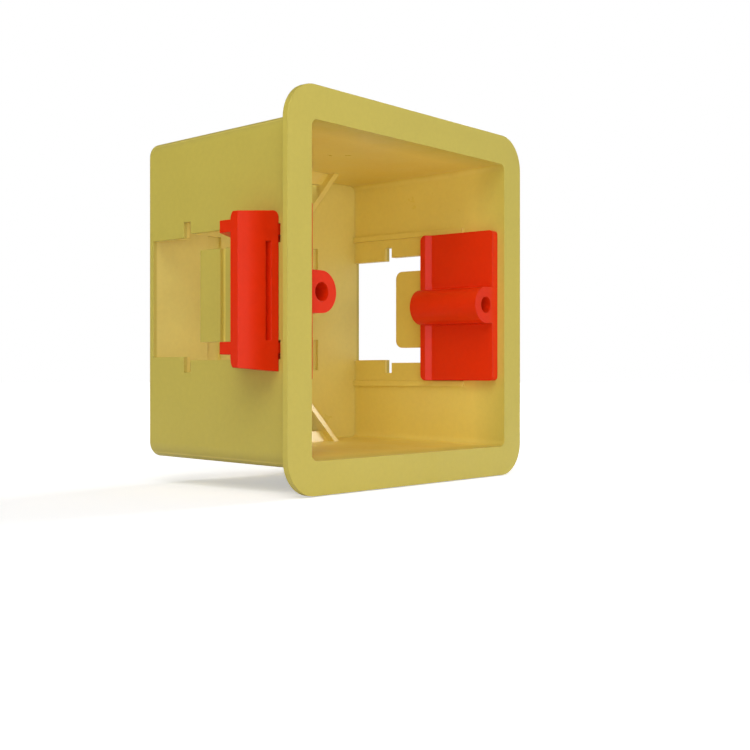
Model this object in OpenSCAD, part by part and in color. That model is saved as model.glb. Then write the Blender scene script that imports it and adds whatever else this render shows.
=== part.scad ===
// Drywall back box: a moulded box with a front flange and two sliding clamp clips.
// X runs to the right seen from the front, Y into the wall, Z up.
// The flange's front face lies on y = 0 and its centre on x = z = 0. Millimetres.

/* [Screws] */
// Distance between the two screw axes, which sets every width of the box
screw_spacing = 60.3; // [58:0.1:64]

/* [Flange] */
// How far the flange stands out past the shell on each side
flange_rim = 5.25; // [4:0.05:10]
// Thickness of the flange
flange_t = 1.4; // [1.2:0.1:1.8]
// Corner radius of the flange
flange_r = 8; // [4:0.5:12]

/* [Shell] */
// Depth from the flange's front face to the outside of the rear wall
shell_depth = 50.4; // [49:0.2:54]
// Lean of each side wall towards the rear, degrees
draft = 1; // [0.5:0.1:1.4]
// Radius of the four long outer edges
shell_r = 3.5; // [2.5:0.1:5]
// Radius of the four long inner edges
cavity_r = 1.6; // [1.2:0.1:2]
// Thickness of the side walls
wall_t = 1.9; // [1.6:0.05:2.2]
// Thickness of the rear wall
rear_t = 1.3; // [1.2:0.02:2]

/* [Side windows] */
// Front end of the two slots in each side wall
slot_front = 7.3; // [6:0.1:7.6]
// Distance from the centre line to the near edge of a slot
slot_in = 10.2; // [9:0.1:10.6]
// Distance from the centre line to the far edge of a slot
slot_out = 14.2; // [14:0.1:15]
// Front edge of the notch that lets the clip wing through
notch_front = 36; // [35:0.1:37]
// Length of the notch along the wall
notch_len = 2.3; // [2.2:0.1:3]
// Half height of the notch
notch_half = 16.9; // [16.8:0.1:17.5]
// Half height of the open window behind the notch
window_half = 13.4; // [12.5:0.1:14]
// Rear end of the tongue between the slots
tongue_end = 34.5; // [33:0.1:35]
// Radius of the tongue's rear corners
tongue_r = 2; // [1:0.1:3]
// Length of the slope that thins the tongue's outer face at its tip
tongue_bevel = 1.9; // [1:0.1:2.5]
// Thickness left at the tongue's tip
tongue_tip_t = 0.3; // [0.3:0.1:1]
// Front edge of the groove across the tongue
groove_front = 24.3; // [22:0.1:26]
// Width of the groove along the tongue
groove_w = 1.7; // [1:0.1:2]
// Depth of the groove
groove_deep = 1; // [0.4:0.1:1.1]

/* [Guide rails] */
// Distance from the centre line to the near face of a rail
rail_in = 19.05; // [18.8:0.05:20]
// Thickness of a rail
rail_t = 1.4; // [0.8:0.1:1.6]
// How far a rail stands off the wall
rail_high = 0.72; // [0.5:0.02:1.2]
// Front end of the rails
rail_front = 12.3; // [8:0.1:16]

/* [Knock-outs] */
// Distance from the centre to the near edge of a rear knock-out
pocket_in = 15.3; // [14:0.1:18]
// Width of a rear knock-out
pocket_w = 4.35; // [3:0.05:5]
// Height of a rear knock-out's near edge above the centre
pocket_low = 8.1; // [4:0.1:12]
// Height of a rear knock-out's far edge above the centre
pocket_high = 16.2; // [14:0.1:18]
// Depth of a rear knock-out in the wall
pocket_deep = 0.9; // [0.5:0.1:0.9]

/* [Cable entries] */
// Distance from the centre to the near face of a sloped cheek
cheek_in = 14.65; // [12:0.05:16]
// Thickness of a sloped cheek
cheek_t = 1.8; // [1.4:0.1:2.2]
// How far the slope of the cheeks reaches along the rear wall from the cavity's corner
cheek_leg = 10.2; // [9.4:0.1:11]
// Where the flap's inner face would meet the rear wall, from the cavity's corner
flap_leg = 8.2; // [7.6:0.1:8.4]
// Thickness of the flap along the rear wall
flap_t = 1.7; // [1.4:0.1:2]
// How far the flap comes down from the ceiling at the rear wall
flap_drop = 2.4; // [2:0.1:3]

/* [Clip] */
// Front end of the clip's plate and boss at rest
plate_front = 2; // [1.6:0.1:3]
// Rear end of the clip's plate at rest
plate_rear = 23.9; // [22.6:0.1:24.5]
// Rear end of the screw boss at rest
boss_rear = 22.6; // [21.5:0.1:22.6]
// Gap between the plate and each guide rail
rail_gap = 0.15; // [0.1:0.05:1]
// Thickness of the front part of the plate
plate_t = 2.25; // [1.8:0.05:3]
// How far the thick rear part of the plate stands in
step_high = 1.25; // [0.5:0.05:2]
// Where the ramp up to the thick part begins
step_front = 21.1; // [14:0.1:21.1]
// Radius of the plate's rear corners
plate_rear_r = 1.5; // [0.5:0.1:3]
// Radius of the plate's front corners
plate_front_r = 1; // [0.5:0.1:3]
// Gap between the clip and each face that it slides on
slide_gap = 0.1; // [0.05:0.01:0.15]
// Distance from the screw's axis to the plate's inner face
screw_off = 2.85; // [2.4:0.05:3.4]
// Radius of the screw boss
boss_r = 4.5; // [3.5:0.1:5]
// Radius of the screw bore
bore_r = 2.05; // [1.6:0.05:2.2]

/* [Clip wing] */
// Gap between the wing and the outside of the wall
wing_gap = 0.1; // [0.1:0.05:0.5]
// How far the wing reaches out past the shell
wing_reach = 9.65; // [8:0.05:12]
// Gap above and below the wing as it passes through the notch
wing_clear = 0.15; // [0.1:0.05:0.5]
// Height that each half of the wing loses from the wall to its outer edge
wing_narrow = 0.75; // [0:0.05:1.5]
// Radius of the wing's two rear corners seen from the side
wing_r = 2.4; // [1:0.1:3]
// Radius of the wing's one rounded corner next to the wall
wing_root_r = 1.3; // [0.5:0.1:2]
// Front face of the wing at the wall
wing_front = 7.75; // [7.7:0.05:9]
// How far the wing's front face falls back at its outer edge
wing_fall = 2.05; // [0:0.05:2.5]
// Rear face of the wing at its outer edge
wing_rear = 12; // [11.5:0.1:13]
// Distance from the wing's inner edge to the recess in its front face
recess_off = 1.8; // [1:0.1:2.5]
// Width of the recess
recess_w = 1.3; // [1:0.1:2.5]
// Half height of the recess
recess_half = 10.3; // [6:0.1:12]
// Depth of the recess
recess_deep = 2; // [1:0.1:2.4]

/* [Clip arms] */
// Thickness of each gusset arm
arm_t = 2.3; // [1.6:0.1:2.5]
// How much thicker the part of an arm outside the wall is, on its far face
arm_flare = 0.25; // [0:0.05:0.5]
// Gap between the tongue and the arm nearest to it
arm_gap = 0.5; // [0.3:0.1:0.8]
// Depth of the arms' rear corner at the wing's outer edge
arm_tip_rear = 15.2; // [14:0.1:17]
// Depth of the arms' rear edge at the wall
arm_root_rear = 21.3; // [20:0.1:22]

/* [Hidden] */
slope = tan(draft);
over = 1;
thin = 0.01;
round_fn = 64;
screw_x = screw_spacing / 2;
plate_in = screw_x + screw_off;
cavity_half = plate_in + plate_t + slide_gap;
shell_half = cavity_half + wall_t;
flange_half = shell_half + flange_rim;
flange_w = 2 * flange_half;
cavity_rear = shell_depth - rear_t;
corner_sum = cavity_rear + cavity_half - slope * cavity_rear;
cheek_sum = corner_sum - cheek_leg;
flap_in_sum = corner_sum - flap_leg;
flap_out_sum = flap_in_sum + flap_t;
flap_edge = corner_sum - cavity_rear - flap_drop;
notch_rear = notch_front + notch_len;
groove_rear = groove_front + groove_w;
slot_mid = (slot_in + slot_out) / 2;
bevel_front = tongue_end - tongue_bevel;
plate_thick_in = plate_in - step_high;
step_rear = step_front + step_high;
arm_root_x = (plate_in + cavity_half) / 2;
arm_wall_x = shell_half - slope * arm_root_rear + wing_gap;
plate_half = rail_in - rail_gap;
wing_in = shell_half - slope * wing_front + wing_gap;
wing_out = shell_half + wing_reach;
wing_half = notch_half - wing_clear;
wing_tip_half = wing_half - wing_narrow;

// Half width of the shell's outside at depth y.
function outer_at(y) = shell_half - slope * y;

// Half width of the cavity at depth y.
function inner_at(y) = cavity_half - slope * y;

// A square in the XZ plane with rounded corners, from depth y a little way back.
module square_slice(half, r, y) {
    translate([0, y, 0])
        rotate([-90, 0, 0])
            linear_extrude(thin)
                union() {
                    square([2 * (half - r), 2 * half], center = true);
                    square([2 * half, 2 * (half - r)], center = true);
                    for (sx = [-1, 1])
                        for (sz = [-1, 1])
                            translate([sx * (half - r), sz * (half - r)])
                                circle(r, $fn = round_fn);
                }
}

// The shell as a solid block with its draft.
module shell_block() {
    hull() {
        square_slice(outer_at(0), shell_r, 0);
        square_slice(outer_at(shell_depth), shell_r, shell_depth - thin);
    }
}

// The room inside the shell, open to the front.
module cavity_block() {
    hull() {
        square_slice(inner_at(-over), cavity_r, -over);
        square_slice(inner_at(cavity_rear), cavity_r, cavity_rear - thin);
    }
}

// The front flange as a solid plate.
module flange_plate() {
    rotate([-90, 0, 0])
        linear_extrude(flange_t)
            union() {
                square([flange_w - 2 * flange_r, flange_w], center = true);
                square([flange_w, flange_w - 2 * flange_r], center = true);
                for (sx = [-1, 1])
                    for (sz = [-1, 1])
                        translate([sx * (flange_half - flange_r), sz * (flange_half - flange_r)])
                            circle(flange_r, $fn = round_fn);
            }
}

// A solid whose outline is drawn as depth and height, between two x values.
module side_prism(x0, x1) {
    translate([x0, 0, 0])
        rotate([90, 0, 90])
            linear_extrude(x1 - x0)
                children();
}

// A solid whose outline is drawn as x and depth, between two heights.
module flat_prism(z0, z1) {
    translate([0, 0, z0])
        linear_extrude(z1 - z0)
            children();
}

// A rectangle given by its depths and heights.
module span(y0, y1, z0, z1) {
    translate([y0, z0])
        square([y1 - y0, z1 - z0]);
}

// The tongue's outline with its rounded rear corners.
module tongue_outline() {
    span(slot_front - over, tongue_end - tongue_r, -slot_in, slot_in);
    span(slot_front - over, tongue_end, tongue_r - slot_in, slot_in - tongue_r);
    for (sz = [-1, 1])
        translate([tongue_end - tongue_r, sz * (slot_in - tongue_r)])
            circle(tongue_r, $fn = round_fn);
}

// Everything that is open in a side wall.
module window_outline() {
    difference() {
        span(slot_front, notch_rear, -slot_out, slot_out);
        tongue_outline();
    }
    span(notch_front, notch_rear, -notch_half, notch_half);
    span(notch_front, cavity_rear, -window_half, window_half);
}

// The rails that guide the clip's plate, with faces parallel to the wall.
module guide_rail() {
    flat_prism(rail_in, rail_in + rail_t)
        polygon([
            [inner_at(rail_front) - rail_high, rail_front],
            [outer_at(rail_front) - wall_t / 2, rail_front],
            [outer_at(cavity_rear) - wall_t / 2, cavity_rear + rear_t / 2],
            [inner_at(cavity_rear) - rail_high, cavity_rear + rear_t / 2]
        ]);
}

// What is taken off the outside of the tongue: the groove and the slope at its tip.
module tongue_relief() {
    flat_prism(-slot_mid, slot_mid) {
        polygon([
            [outer_at(groove_front) - groove_deep, groove_front],
            [outer_at(groove_front) + over, groove_front],
            [outer_at(groove_rear) + over, groove_rear],
            [outer_at(groove_rear) - groove_deep, groove_rear]
        ]);
        polygon([
            [outer_at(bevel_front), bevel_front],
            [outer_at(bevel_front) + over, bevel_front],
            [outer_at(bevel_front) + over, tongue_end + over],
            [inner_at(tongue_end) + tongue_tip_t, tongue_end + over],
            [inner_at(tongue_end) + tongue_tip_t, tongue_end]
        ]);
    }
}

// One blind knock-out, sunk in the rear wall's inner face.
module knock_out() {
    translate([pocket_in, cavity_rear - over, pocket_low])
        cube([pocket_w, over + pocket_deep, pocket_high - pocket_low]);
}

// The corner of the box that a cable entry opens, between its cheeks.
module entry_cut() {
    side_prism(-cheek_in, cheek_in)
        union() {
            polygon([
                [cheek_sum - flap_edge, flap_edge],
                [shell_depth + over, flap_edge],
                [shell_depth + over, cheek_sum - shell_depth - over]
            ]);
            polygon([
                [flap_out_sum - shell_half - over, shell_half + over],
                [shell_depth + over, shell_half + over],
                [shell_depth + over, flap_out_sum - shell_depth - over]
            ]);
        }
}

// The triangular cheeks at both sides of a cable entry.
module entry_cheeks() {
    intersection() {
        shell_block();
        for (x0 = [-cheek_in - cheek_t, cheek_in])
            side_prism(x0, x0 + cheek_t)
                polygon([
                    [cheek_sum - shell_half - over, shell_half + over],
                    [shell_depth + over, shell_half + over],
                    [shell_depth + over, cheek_sum - shell_depth - over]
                ]);
    }
}

// The sloped flap that closes the upper part of a cable entry.
module entry_flap() {
    intersection() {
        shell_block();
        side_prism(-cheek_in - cheek_t / 2, cheek_in + cheek_t / 2)
            polygon([
                [flap_in_sum - flap_edge, flap_edge],
                [flap_out_sum - flap_edge, flap_edge],
                [flap_out_sum - shell_half, shell_half],
                [flap_in_sum - shell_half, shell_half]
            ]);
    }
}

// The box, one moulding: flange, shell, windows, rails, knock-outs and cable entries.
module back_box() {
    color([0.76, 0.68, 0.33])
        union() {
            difference() {
                union() {
                    flange_plate();
                    shell_block();
                }
                cavity_block();
                side_prism(-shell_half - over, shell_half + over)
                    window_outline();
                for (sx = [0, 1])
                    mirror([sx, 0, 0])
                        tongue_relief();
                for (sx = [0, 1])
                    for (sz = [0, 1])
                        mirror([sx, 0, 0])
                            mirror([0, 0, sz])
                                knock_out();
                for (sz = [0, 1])
                    mirror([0, 0, sz])
                        entry_cut();
            }
            for (sx = [0, 1])
                for (sz = [0, 1])
                    mirror([sx, 0, 0])
                        mirror([0, 0, sz])
                            guide_rail();
            for (sz = [0, 1])
                mirror([0, 0, sz]) {
                    entry_cheeks();
                    entry_flap();
                }
        }
}

// The outline of the clip's plate seen from the side, with its rounded corners.
module plate_outline() {
    front = plate_front + plate_front_r;
    rear = plate_rear - plate_rear_r;
    front_half = plate_half - plate_front_r;
    rear_half = plate_half - plate_rear_r;
    span(front, rear, -plate_half, plate_half);
    span(plate_front, front, -front_half, front_half);
    span(rear, plate_rear, -rear_half, rear_half);
    for (sz = [-1, 1]) {
        translate([front, sz * front_half])
            circle(plate_front_r, $fn = round_fn);
        translate([rear, sz * rear_half])
            circle(plate_rear_r, $fn = round_fn);
    }
}

// The plate that slides on the inside of the wall, with its thicker rear part.
module clip_plate() {
    intersection() {
        side_prism(plate_thick_in, cavity_half)
            plate_outline();
        flat_prism(-plate_half, plate_half)
            polygon([
                [plate_in, plate_front],
                [inner_at(plate_front) - slide_gap, plate_front],
                [inner_at(plate_rear) - slide_gap, plate_rear],
                [plate_thick_in, plate_rear],
                [plate_thick_in, step_rear],
                [plate_in, step_front]
            ]);
    }
}

// The screw boss on the plate, flat where it joins the plate.
module clip_boss() {
    translate([screw_x, plate_front, 0])
        rotate([-90, 0, 0])
            cylinder(h = boss_rear - plate_front, r = boss_r, $fn = round_fn);
    translate([screw_x, plate_front, -boss_r])
        cube([arm_root_x - screw_x, boss_rear - plate_front, 2 * boss_r]);
}

// One gusset arm from the plate through its slot to the wing's outer edge.
module clip_arm(z0) {
    flat_prism(z0, z0 + arm_t)
        polygon([
            [arm_root_x, wing_front],
            [wing_in, wing_front],
            [wing_out, wing_front + wing_fall],
            [wing_out, arm_tip_rear],
            [arm_wall_x, arm_root_rear],
            [arm_root_x, arm_root_rear]
        ]);
    flat_prism(z0, z0 + arm_t + arm_flare)
        polygon([
            [wing_in, wing_front],
            [wing_out, wing_front + wing_fall],
            [wing_out, arm_tip_rear],
            [arm_wall_x, arm_root_rear]
        ]);
}

// The wing's outline seen from the front: it narrows outwards and has one round corner.
module wing_outline() {
    polygon([
        [wing_in, wing_root_r - wing_half],
        [wing_in + wing_root_r, wing_root_r - wing_half],
        [wing_in + wing_root_r, -wing_half],
        [wing_out, -wing_tip_half],
        [wing_out, wing_tip_half],
        [wing_in, wing_half]
    ]);
    translate([wing_in + wing_root_r, wing_root_r - wing_half])
        circle(wing_root_r, $fn = round_fn);
}

// The wing's outline seen from the side, with its two rounded rear corners.
module wing_profile() {
    rear = wing_rear - wing_r;
    round_half = wing_half - wing_r;
    span(wing_front, rear, -wing_half, wing_half);
    span(rear, wing_rear, -round_half, round_half);
    for (sz = [-1, 1])
        translate([rear, sz * round_half])
            circle(wing_r, $fn = round_fn);
}

// The wing that presses on the back of the board, with the recess in its front face.
module clip_wing() {
    difference() {
        intersection() {
            translate([0, wing_rear, 0])
                rotate([90, 0, 0])
                    linear_extrude(wing_rear - wing_front)
                        wing_outline();
            side_prism(wing_in, wing_out)
                wing_profile();
            flat_prism(-wing_half, wing_half)
                polygon([
                    [wing_in, wing_front],
                    [wing_out, wing_front + wing_fall],
                    [wing_out, wing_rear],
                    [wing_in, wing_rear]
                ]);
        }
        translate([wing_in + recess_off, wing_front - over, -recess_half])
            cube([recess_w, over + recess_deep, 2 * recess_half]);
    }
}

// One clip, drawn on the right wall.
module clip() {
    color([0.80, 0.16, 0.05])
        difference() {
            union() {
                clip_plate();
                clip_boss();
                clip_arm(slot_in + arm_gap);
                mirror([0, 0, 1])
                    clip_arm(slot_out - slide_gap - arm_t);
                clip_wing();
            }
            translate([screw_x, plate_front - over, 0])
                rotate([-90, 0, 0])
                    cylinder(h = plate_rear - plate_front + 2 * over, r = bore_r, $fn = round_fn);
        }
}

// The clip on the right wall.
module clip_right() {
    clip();
}

// The same clip turned half a turn, on the left wall.
module clip_left() {
    rotate([0, 180, 0])
        clip();
}

back_box();
clip_left();
clip_right();
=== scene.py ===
import math
import bpy
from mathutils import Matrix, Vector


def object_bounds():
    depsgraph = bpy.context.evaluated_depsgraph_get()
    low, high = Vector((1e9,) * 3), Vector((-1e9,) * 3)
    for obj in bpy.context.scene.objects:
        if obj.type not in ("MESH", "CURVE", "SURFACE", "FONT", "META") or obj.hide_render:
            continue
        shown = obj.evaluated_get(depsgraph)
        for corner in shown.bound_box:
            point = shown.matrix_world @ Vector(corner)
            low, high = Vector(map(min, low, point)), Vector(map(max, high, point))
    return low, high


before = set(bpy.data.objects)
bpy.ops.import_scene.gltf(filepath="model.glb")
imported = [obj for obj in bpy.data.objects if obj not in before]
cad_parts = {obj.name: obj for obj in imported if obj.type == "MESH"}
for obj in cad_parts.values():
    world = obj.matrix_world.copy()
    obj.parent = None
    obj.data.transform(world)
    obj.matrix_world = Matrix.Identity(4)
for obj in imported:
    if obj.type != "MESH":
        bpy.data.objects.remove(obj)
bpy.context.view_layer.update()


scene = bpy.context.scene

# Colours are linear, and lengths are in metres.
white = (1.0, 1.0, 1.0, 1.0)
outer_yellow = (0.64, 0.526, 0.095, 1.0)
# Painted light: lighter and warmer than the outer yellow, in place of light bounced about
# inside the box.
inside_painted_bounce_yellow = (0.895, 0.71, 0.155, 1.0)
# Painted sheen: paler and less saturated, in place of white light and sheen on the back wall.
back_wall_painted_sheen_yellow = (0.835, 0.69, 0.175, 1.0)
clip_red = (0.85, 0.028, 0.001, 1.0)
sheet_white = (0.9, 0.9, 0.9, 1.0)

# The faces inside the box are told from the outer ones by where they lie on it, and painted
# lighter and warmer there as painted bounce light.
wall_slope = 0.01746           # the walls lean in by this share of the depth, one degree
mid_wall = (0.0361, 0.0365)    # half width to the middle of a wall, at the flange's front
rim_fade = (0.0, 0.0095)       # the painted bounce light inside, and the smoother skin, come in over this depth from the front
back_fade = (0.0501, 0.0503)   # and goes again just before the back of the rear wall
back_wall_sheen_fade = (0.0480, 0.0489)    # the back wall's paler painted sheen comes in over this depth

# The surface that the mould leaves on both plastics.
plastic_ior = 1.49
flow_shade = (0.985, 1.015)    # the colour is darkened and lightened by these shares
speck_shade = (0.98, 1.02)
rub_change = (-0.05, 0.07)     # change of roughness by rubbing
inner_polish = -0.06           # change of roughness inside the shell
wave_height = 0.00012
wave_strength = 0.35
grain_strength = 0.6
bevel_samples = 6

floor_size = 6.0
floor_gap = 0.0002             # the sheet lies this far below the object
shadow_reach = (0.10, 0.45)    # from the middle, the sheet turns white over this distance
sheet_glow = (0.45, 1.0)       # its own light to the eye, from the middle outwards

world_glow = (0.01, 0.25)      # the world's light from its darkest to its brightest side
world_bright_side = (0.6, -0.8, 0.0)

eye_place = (-0.2143, -0.16709, -0.01749)
eye_turn = -50.0
eye_angle = 35.0
sensor_width = 36.0
eye_range = (0.01, 20.0)


def new_tree(owner):
    """The emptied node tree of a material or world."""
    owner.use_nodes = True
    owner.node_tree.nodes.clear()
    return owner.node_tree


def add(tree, kind, inputs, **settings):
    """A new node whose inputs are set to values or linked to other nodes' outputs."""
    node = tree.nodes.new("ShaderNode" + kind)
    for name, value in settings.items():
        setattr(node, name, value)
    for slot, value in inputs.items():
        if isinstance(value, bpy.types.NodeSocket):
            tree.links.new(value, node.inputs[slot])
        else:
            node.inputs[slot].default_value = value
    return node


def combine(tree, operation, *values):
    """A sum on single values."""
    return add(tree, "Math", dict(enumerate(values)), operation=operation).outputs["Value"]


def remap(tree, source, start, end, **settings):
    """Carries a value from the range start to the range end, and holds it there."""
    ranges = {"From Min": start[0], "From Max": start[1], "To Min": end[0], "To Max": end[1]}
    return add(tree, "MapRange", {"Value": source, **ranges}, **settings).outputs["Result"]


def blend_colour(tree, amount, first, second):
    """The first colour where amount is 0, and the second where it is 1."""
    inputs = {"A": first, "B": second, "Factor": amount}
    return add(tree, "Mix", inputs, data_type="RGBA").outputs["Result"]


def noise(tree, place, scale, detail, roughness):
    """Noise by the place on the object, from 0 to 1."""
    inputs = {"Vector": place, "Scale": scale, "Detail": detail, "Roughness": roughness}
    return add(tree, "TexNoise", inputs).outputs["Fac"]


def inside_shell(tree, place):
    """Two masks by the place on the box: the faces inside the shell, and its back wall. They
    place the painted light there, and the first also the smoother skin.
    """
    axes = add(tree, "SeparateXYZ", {"Vector": place}).outputs
    across = combine(tree, "ABSOLUTE", axes["X"])
    upright = combine(tree, "ABSOLUTE", axes["Z"])
    lean = combine(tree, "MULTIPLY", axes["Y"], wall_slope)
    drafted = combine(tree, "ADD", combine(tree, "MAXIMUM", across, upright), lean)
    within = remap(tree, drafted, mid_wall, (1.0, 0.0))
    behind = remap(tree, axes["Y"], rim_fade, (0.0, 1.0))
    before = remap(tree, axes["Y"], back_fade, (1.0, 0.0))
    # The back wall's mask, for its painted sheen.
    back_wall_sheen_mask = remap(tree, axes["Y"], back_wall_sheen_fade, (0.0, 1.0))
    inside = combine(tree, "MULTIPLY", combine(tree, "MULTIPLY", within, behind), before)
    return inside, back_wall_sheen_mask


def mottled(tree, place, colour):
    """The colour with broad, faint flow marks and a little speckle."""
    flow = noise(tree, place, scale=38.0, detail=3.0, roughness=0.55)
    speck = noise(tree, place, scale=900.0, detail=2.0, roughness=0.5)
    flow_value = remap(tree, flow, (0.3, 0.7), flow_shade)
    speck_value = remap(tree, speck, (0.25, 0.75), speck_shade)
    strength = combine(tree, "MULTIPLY", flow_value, speck_value)
    return add(tree, "HueSaturation", {"Color": colour, "Value": strength}).outputs["Color"]


def rubbed(tree, place, roughness):
    """Roughness with soft rub marks."""
    rub = noise(tree, place, scale=120.0, detail=4.0, roughness=0.6)
    worn = [roughness + change for change in rub_change]
    return remap(tree, rub, (0.3, 0.7), worn)


def raised(tree, relief, height, strength, normal):
    """The normal of a surface that the relief raises by up to height."""
    inputs = {"Height": relief, "Distance": height, "Strength": strength, "Normal": normal}
    return add(tree, "Bump", inputs).outputs["Normal"]


def moulded_skin(tree, place, grain, edge):
    """A normal with softened edges, a very slight wave from the mould and a fine grain."""
    soft = add(tree, "Bevel", {"Radius": edge}, samples=bevel_samples).outputs["Normal"]
    wave = noise(tree, place, scale=55.0, detail=1.0, roughness=0.4)
    waved = raised(tree, wave, wave_height, wave_strength, soft)
    fine = noise(tree, place, scale=1500.0, detail=3.0, roughness=0.6)
    return raised(tree, fine, grain, grain_strength, waved)


def moulded(name, colour, roughness, gloss, grain, edge, hollow=False):
    """Satin injection-moulded plastic.

    grain is the height of its fine skin and edge the radius of the softened edges, both in
    metres. A hollow piece is painted lighter and warmer inside its shell as painted bounce
    light, paler on its back wall as painted sheen, and has a smoother skin inside its shell.
    """
    mat = bpy.data.materials.new(name)
    tree = new_tree(mat)
    place = add(tree, "TexCoord", {}).outputs["Object"]
    rough = rubbed(tree, place, roughness)
    if hollow:
        inside, back_wall_sheen_mask = inside_shell(tree, place)
        # Painted light: lighter, warmer yellows inside the shell stand in for bounced light,
        # and a paler one on the back wall for sheen.
        inner_painted_light = blend_colour(tree, back_wall_sheen_mask, inside_painted_bounce_yellow, back_wall_painted_sheen_yellow)
        colour = blend_colour(tree, inside, colour, inner_painted_light)
        rough = combine(tree, "MULTIPLY_ADD", inside, inner_polish, rough)
    skin = add(tree, "BsdfPrincipled", {
        "Base Color": mottled(tree, place, colour),
        "Roughness": rough,
        "IOR": plastic_ior,
        "Specular IOR Level": gloss,
        "Normal": moulded_skin(tree, place, grain, edge),
    })
    add(tree, "OutputMaterial", {"Surface": skin.outputs["BSDF"]})
    return mat


def dress(node, mat):
    """Gives a CAD node its material."""
    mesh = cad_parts[node].data
    mesh.materials.clear()
    mesh.materials.append(mat)


def floor_sheet():
    """White paper that shows a shadow near the object and is plain white to the eye far off."""
    mat = bpy.data.materials.new("floor_sheet")
    tree = new_tree(mat)
    place = add(tree, "TexCoord", {}).outputs["Object"]
    away = add(tree, "VectorMath", {0: place}, operation="LENGTH").outputs["Value"]
    lift = remap(tree, away, shadow_reach, sheet_glow, interpolation_type="SMOOTHSTEP")
    seen = add(tree, "LightPath", {}).outputs["Is Camera Ray"]
    strength = combine(tree, "MULTIPLY", seen, lift)
    glow = add(tree, "Emission", {"Color": white, "Strength": strength}).outputs["Emission"]
    matt = add(tree, "BsdfDiffuse", {"Color": sheet_white}).outputs["BSDF"]
    both = add(tree, "AddShader", {0: matt, 1: glow}).outputs["Shader"]
    add(tree, "OutputMaterial", {"Surface": both})
    return mat


def studio_world():
    """White to the eye, and as light a soft grey that is brightest at the front right."""
    world = bpy.data.worlds.new("studio")
    tree = new_tree(world)
    side = add(tree, "TexCoord", {}).outputs["Generated"]
    facing = add(tree, "VectorMath", {0: side, 1: world_bright_side}, operation="DOT_PRODUCT")
    strength = remap(tree, facing.outputs["Value"], (-1.0, 1.0), world_glow)
    felt = add(tree, "Background", {"Color": white, "Strength": strength})
    seen = add(tree, "Background", {"Color": white, "Strength": 1.0})
    choose = add(tree, "MixShader", {
        "Fac": add(tree, "LightPath", {}).outputs["Is Camera Ray"],
        1: felt.outputs["Background"],
        2: seen.outputs["Background"],
    })
    add(tree, "OutputWorld", {"Surface": choose.outputs["Shader"]})
    return world


def panel(name, place, target, width, height, watts):
    """A soft rectangular lamp at place that looks at target."""
    data = bpy.data.lights.new(name, "AREA")
    data.shape = "RECTANGLE"
    data.size = width
    data.size_y = height
    data.energy = watts
    lamp = bpy.data.objects.new(name, data)
    scene.collection.objects.link(lamp)
    lamp.location = place
    dx, dy, dz = (target[i] - place[i] for i in range(3))
    lamp.rotation_euler = (math.atan2(math.hypot(dx, dy), -dz), 0.0, math.atan2(-dx, dy))


box_plastic = moulded("box_plastic", outer_yellow, roughness=0.38, gloss=0.5,
                      grain=0.00001, edge=0.00014, hollow=True)
clip_plastic = moulded("clip_plastic", clip_red, roughness=0.37, gloss=0.32,
                       grain=0.000008, edge=0.0002)
dress("back_box", box_plastic)
dress("clip_left", clip_plastic)
dress("clip_right", clip_plastic)

# Floor: a white sheet that keeps the object's shadow.
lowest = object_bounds()[0].z
bpy.ops.mesh.primitive_plane_add(size=floor_size, location=(0.0, 0.0, lowest - floor_gap))
floor = bpy.context.object
floor.name = "floor"
floor.data.materials.append(floor_sheet())

scene.world = studio_world()

# Lamps: two soft keys from the upper left, weak fills, and one that is seen as a reflection.
middle = (0.0, 0.0, 0.0)
rear_middle = (0.0, 0.05, 0.0)
lower_flap = (0.014, 0.042, -0.033)
panel("key_left", (-0.50, -0.11, 0.52), middle, 0.6, 0.6, 2.12)
panel("key_front", (-0.40, -0.40, 0.52), middle, 0.5, 0.5, 1.15)
panel("fill_left", (-0.59, -0.46, 0.03), middle, 0.4, 0.12, 0.97)
panel("fill_front", (-0.05, -0.80, 0.03), middle, 0.4, 0.12, 0.95)
panel("fill_back", (0.15, 0.80, 0.20), rear_middle, 0.5, 0.5, 0.45)
panel("fill_right", (0.50, -0.46, 0.06), middle, 0.35, 0.35, 0.08)
panel("through_window", (0.456, 0.012, 0.371), lower_flap, 0.25, 0.25, 1.8)

# Camera at the photograph's own place.
eye = bpy.data.cameras.new("photo_camera")
eye.sensor_fit = "HORIZONTAL"
eye.sensor_width = sensor_width
eye.lens = 0.5 * sensor_width / math.tan(math.radians(0.5 * eye_angle))
eye.clip_start, eye.clip_end = eye_range
camera = bpy.data.objects.new("photo_camera", eye)
scene.collection.objects.link(camera)
camera.location = eye_place
camera.rotation_euler = (math.radians(90.0), 0.0, math.radians(eye_turn))
scene.camera = camera

scene.view_settings.view_transform = "Standard"
